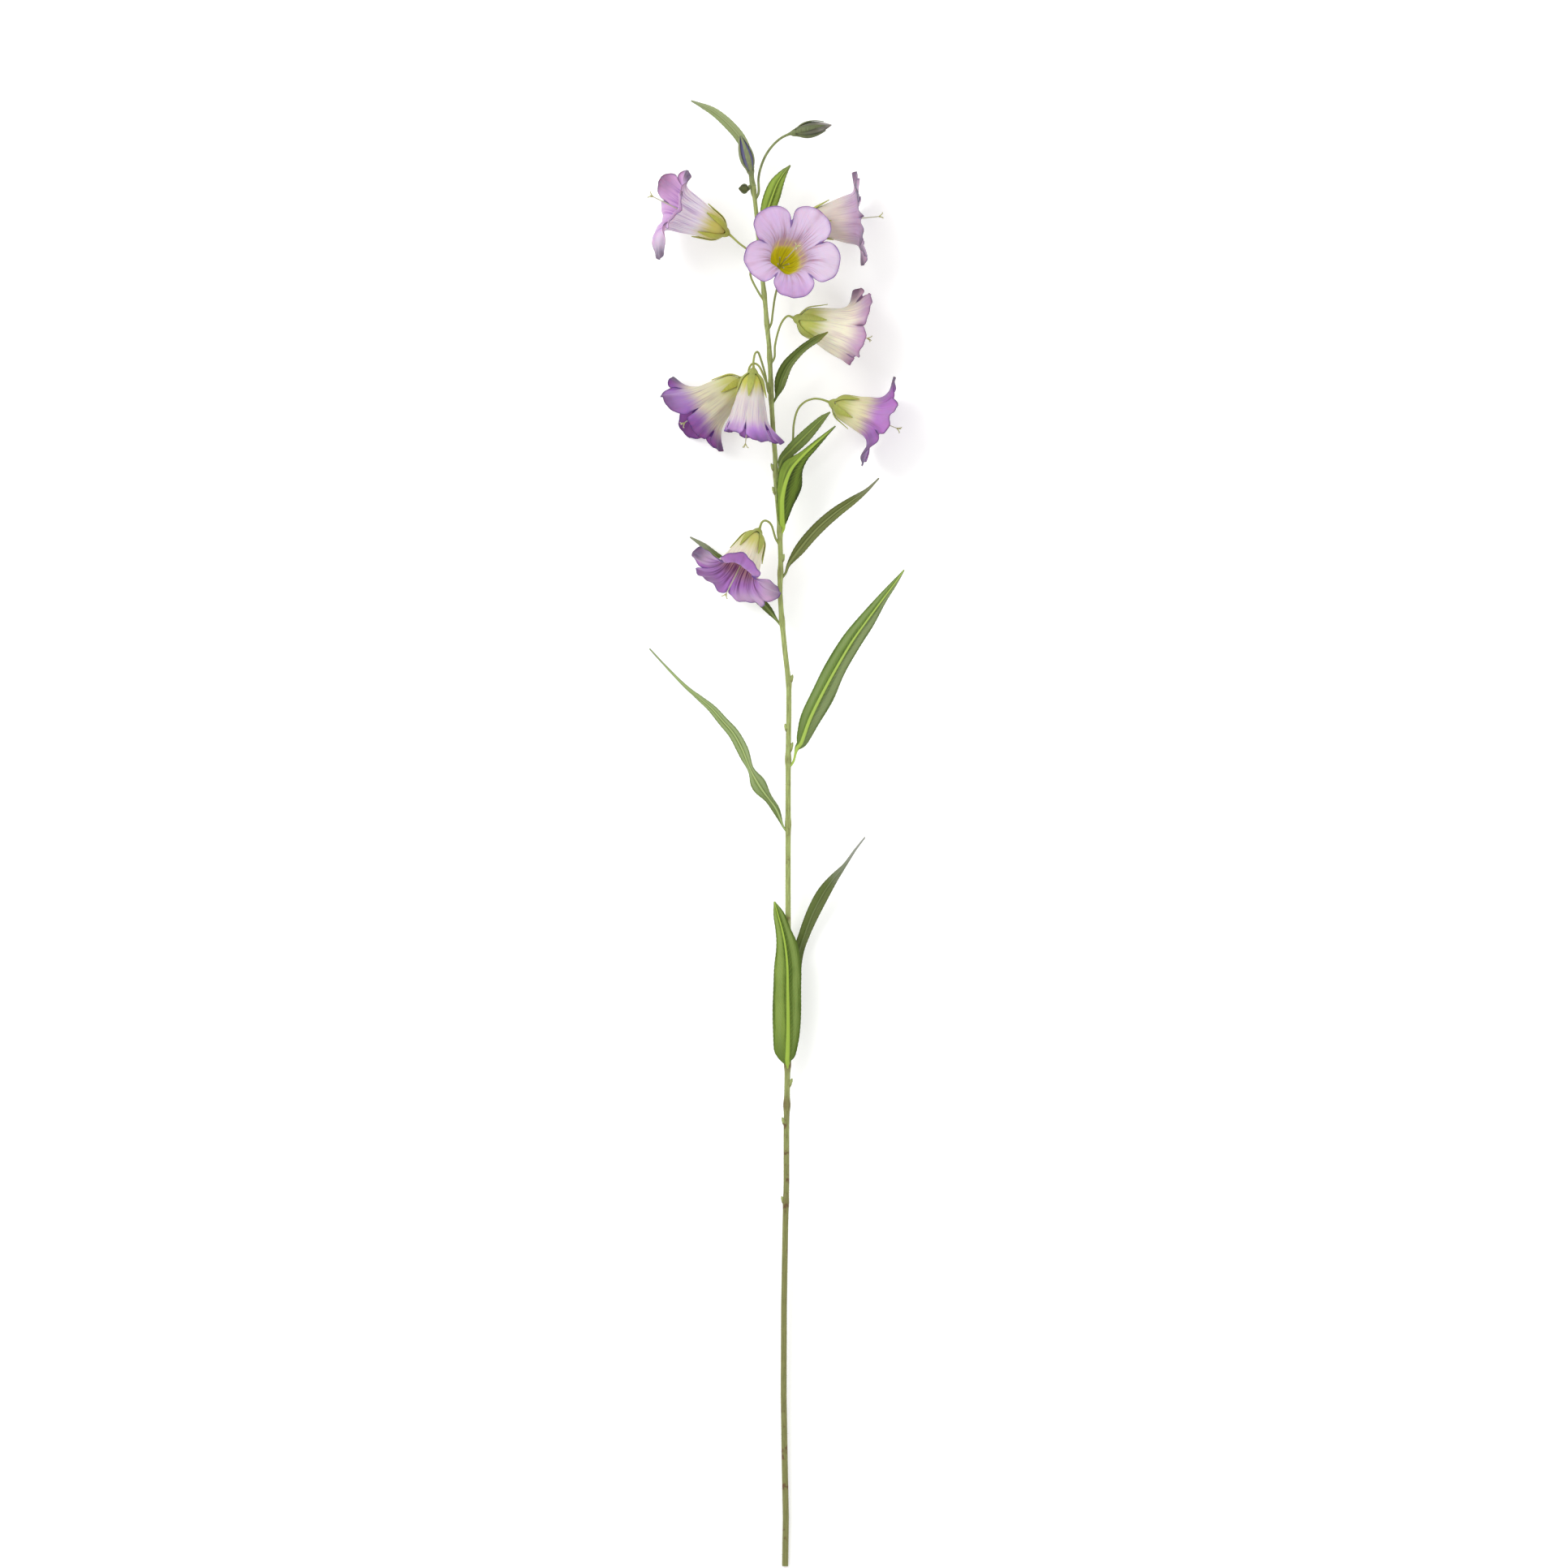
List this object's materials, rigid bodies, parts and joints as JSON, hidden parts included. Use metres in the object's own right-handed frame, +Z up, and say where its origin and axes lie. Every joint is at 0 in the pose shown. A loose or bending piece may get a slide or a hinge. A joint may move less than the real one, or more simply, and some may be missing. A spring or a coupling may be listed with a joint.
{
  "type": "campanula flower stem",
  "caption": "Cut bellflower stem lying on its side: slender curved stalk with lilac and violet open bells on hooked stalks, closed buds at the top and narrow pointed leaves.",
  "frame": {"origin": "middle of the footprint on the surface that the stem lies on, at the lowest points of the cut end and of two bells", "axes": "+Y runs along the stem from the cut end to the flowering tip, +X is to the right seen from above, +Z is up from the surface"},
  "size_m": [0.149, 0.8505, 0.0726],
  "materials": {
    "stem_green": "matte plant skin, grey-green low down and fresher green above",
    "leaf_green": "soft matte leaf with a paler midrib and veins",
    "calyx_green": "matte yellow-green stalks, cups and sepals",
    "petal_lilac": "soft translucent petal, cream at the foot to pale lilac at the lobes",
    "petal_violet": "soft translucent petal, cream at the foot to violet at the lobes",
    "pistil_pale": "matte pale style, stigma and stamens"
  },
  "bodies": {
    "root": {"main_stem": "stem_green", "leaf_01": "leaf_green", "leaf_02": "leaf_green", "leaf_03": "leaf_green", "leaf_04": "leaf_green", "leaf_05": "leaf_green", "leaf_06": "leaf_green", "leaf_07": "leaf_green", "leaf_08": "leaf_green", "leaf_09": "leaf_green", "leaf_10": "leaf_green", "leaf_11": "leaf_green", "bell_a_calyx": "calyx_green", "bell_a_petals": "petal_lilac", "bell_a_pistil": "pistil_pale", "bell_b_calyx": "calyx_green", "bell_b_petals": "petal_lilac", "bell_b_pistil": "pistil_pale", "bell_c_calyx": "calyx_green", "bell_c_petals": "petal_lilac", "bell_c_pistil": "pistil_pale", "bell_d_calyx": "calyx_green", "bell_d_petals": "petal_lilac", "bell_d_pistil": "pistil_pale", "bell_e_calyx": "calyx_green", "bell_e_petals": "petal_violet", "bell_e_pistil": "pistil_pale", "bell_f_calyx": "calyx_green", "bell_f_petals": "petal_violet", "bell_f_pistil": "pistil_pale", "bell_g_calyx": "calyx_green", "bell_g_petals": "petal_violet", "bell_g_pistil": "pistil_pale", "bell_h_calyx": "calyx_green", "bell_h_petals": "petal_violet", "bell_h_pistil": "pistil_pale", "bud_1_calyx": "calyx_green", "bud_1_petals": "petal_violet", "bud_2_calyx": "calyx_green", "bud_2_petals": "petal_violet", "bud_3_calyx": "calyx_green", "bud_3_petals": "petal_violet"}
  },
  "joints": []
}
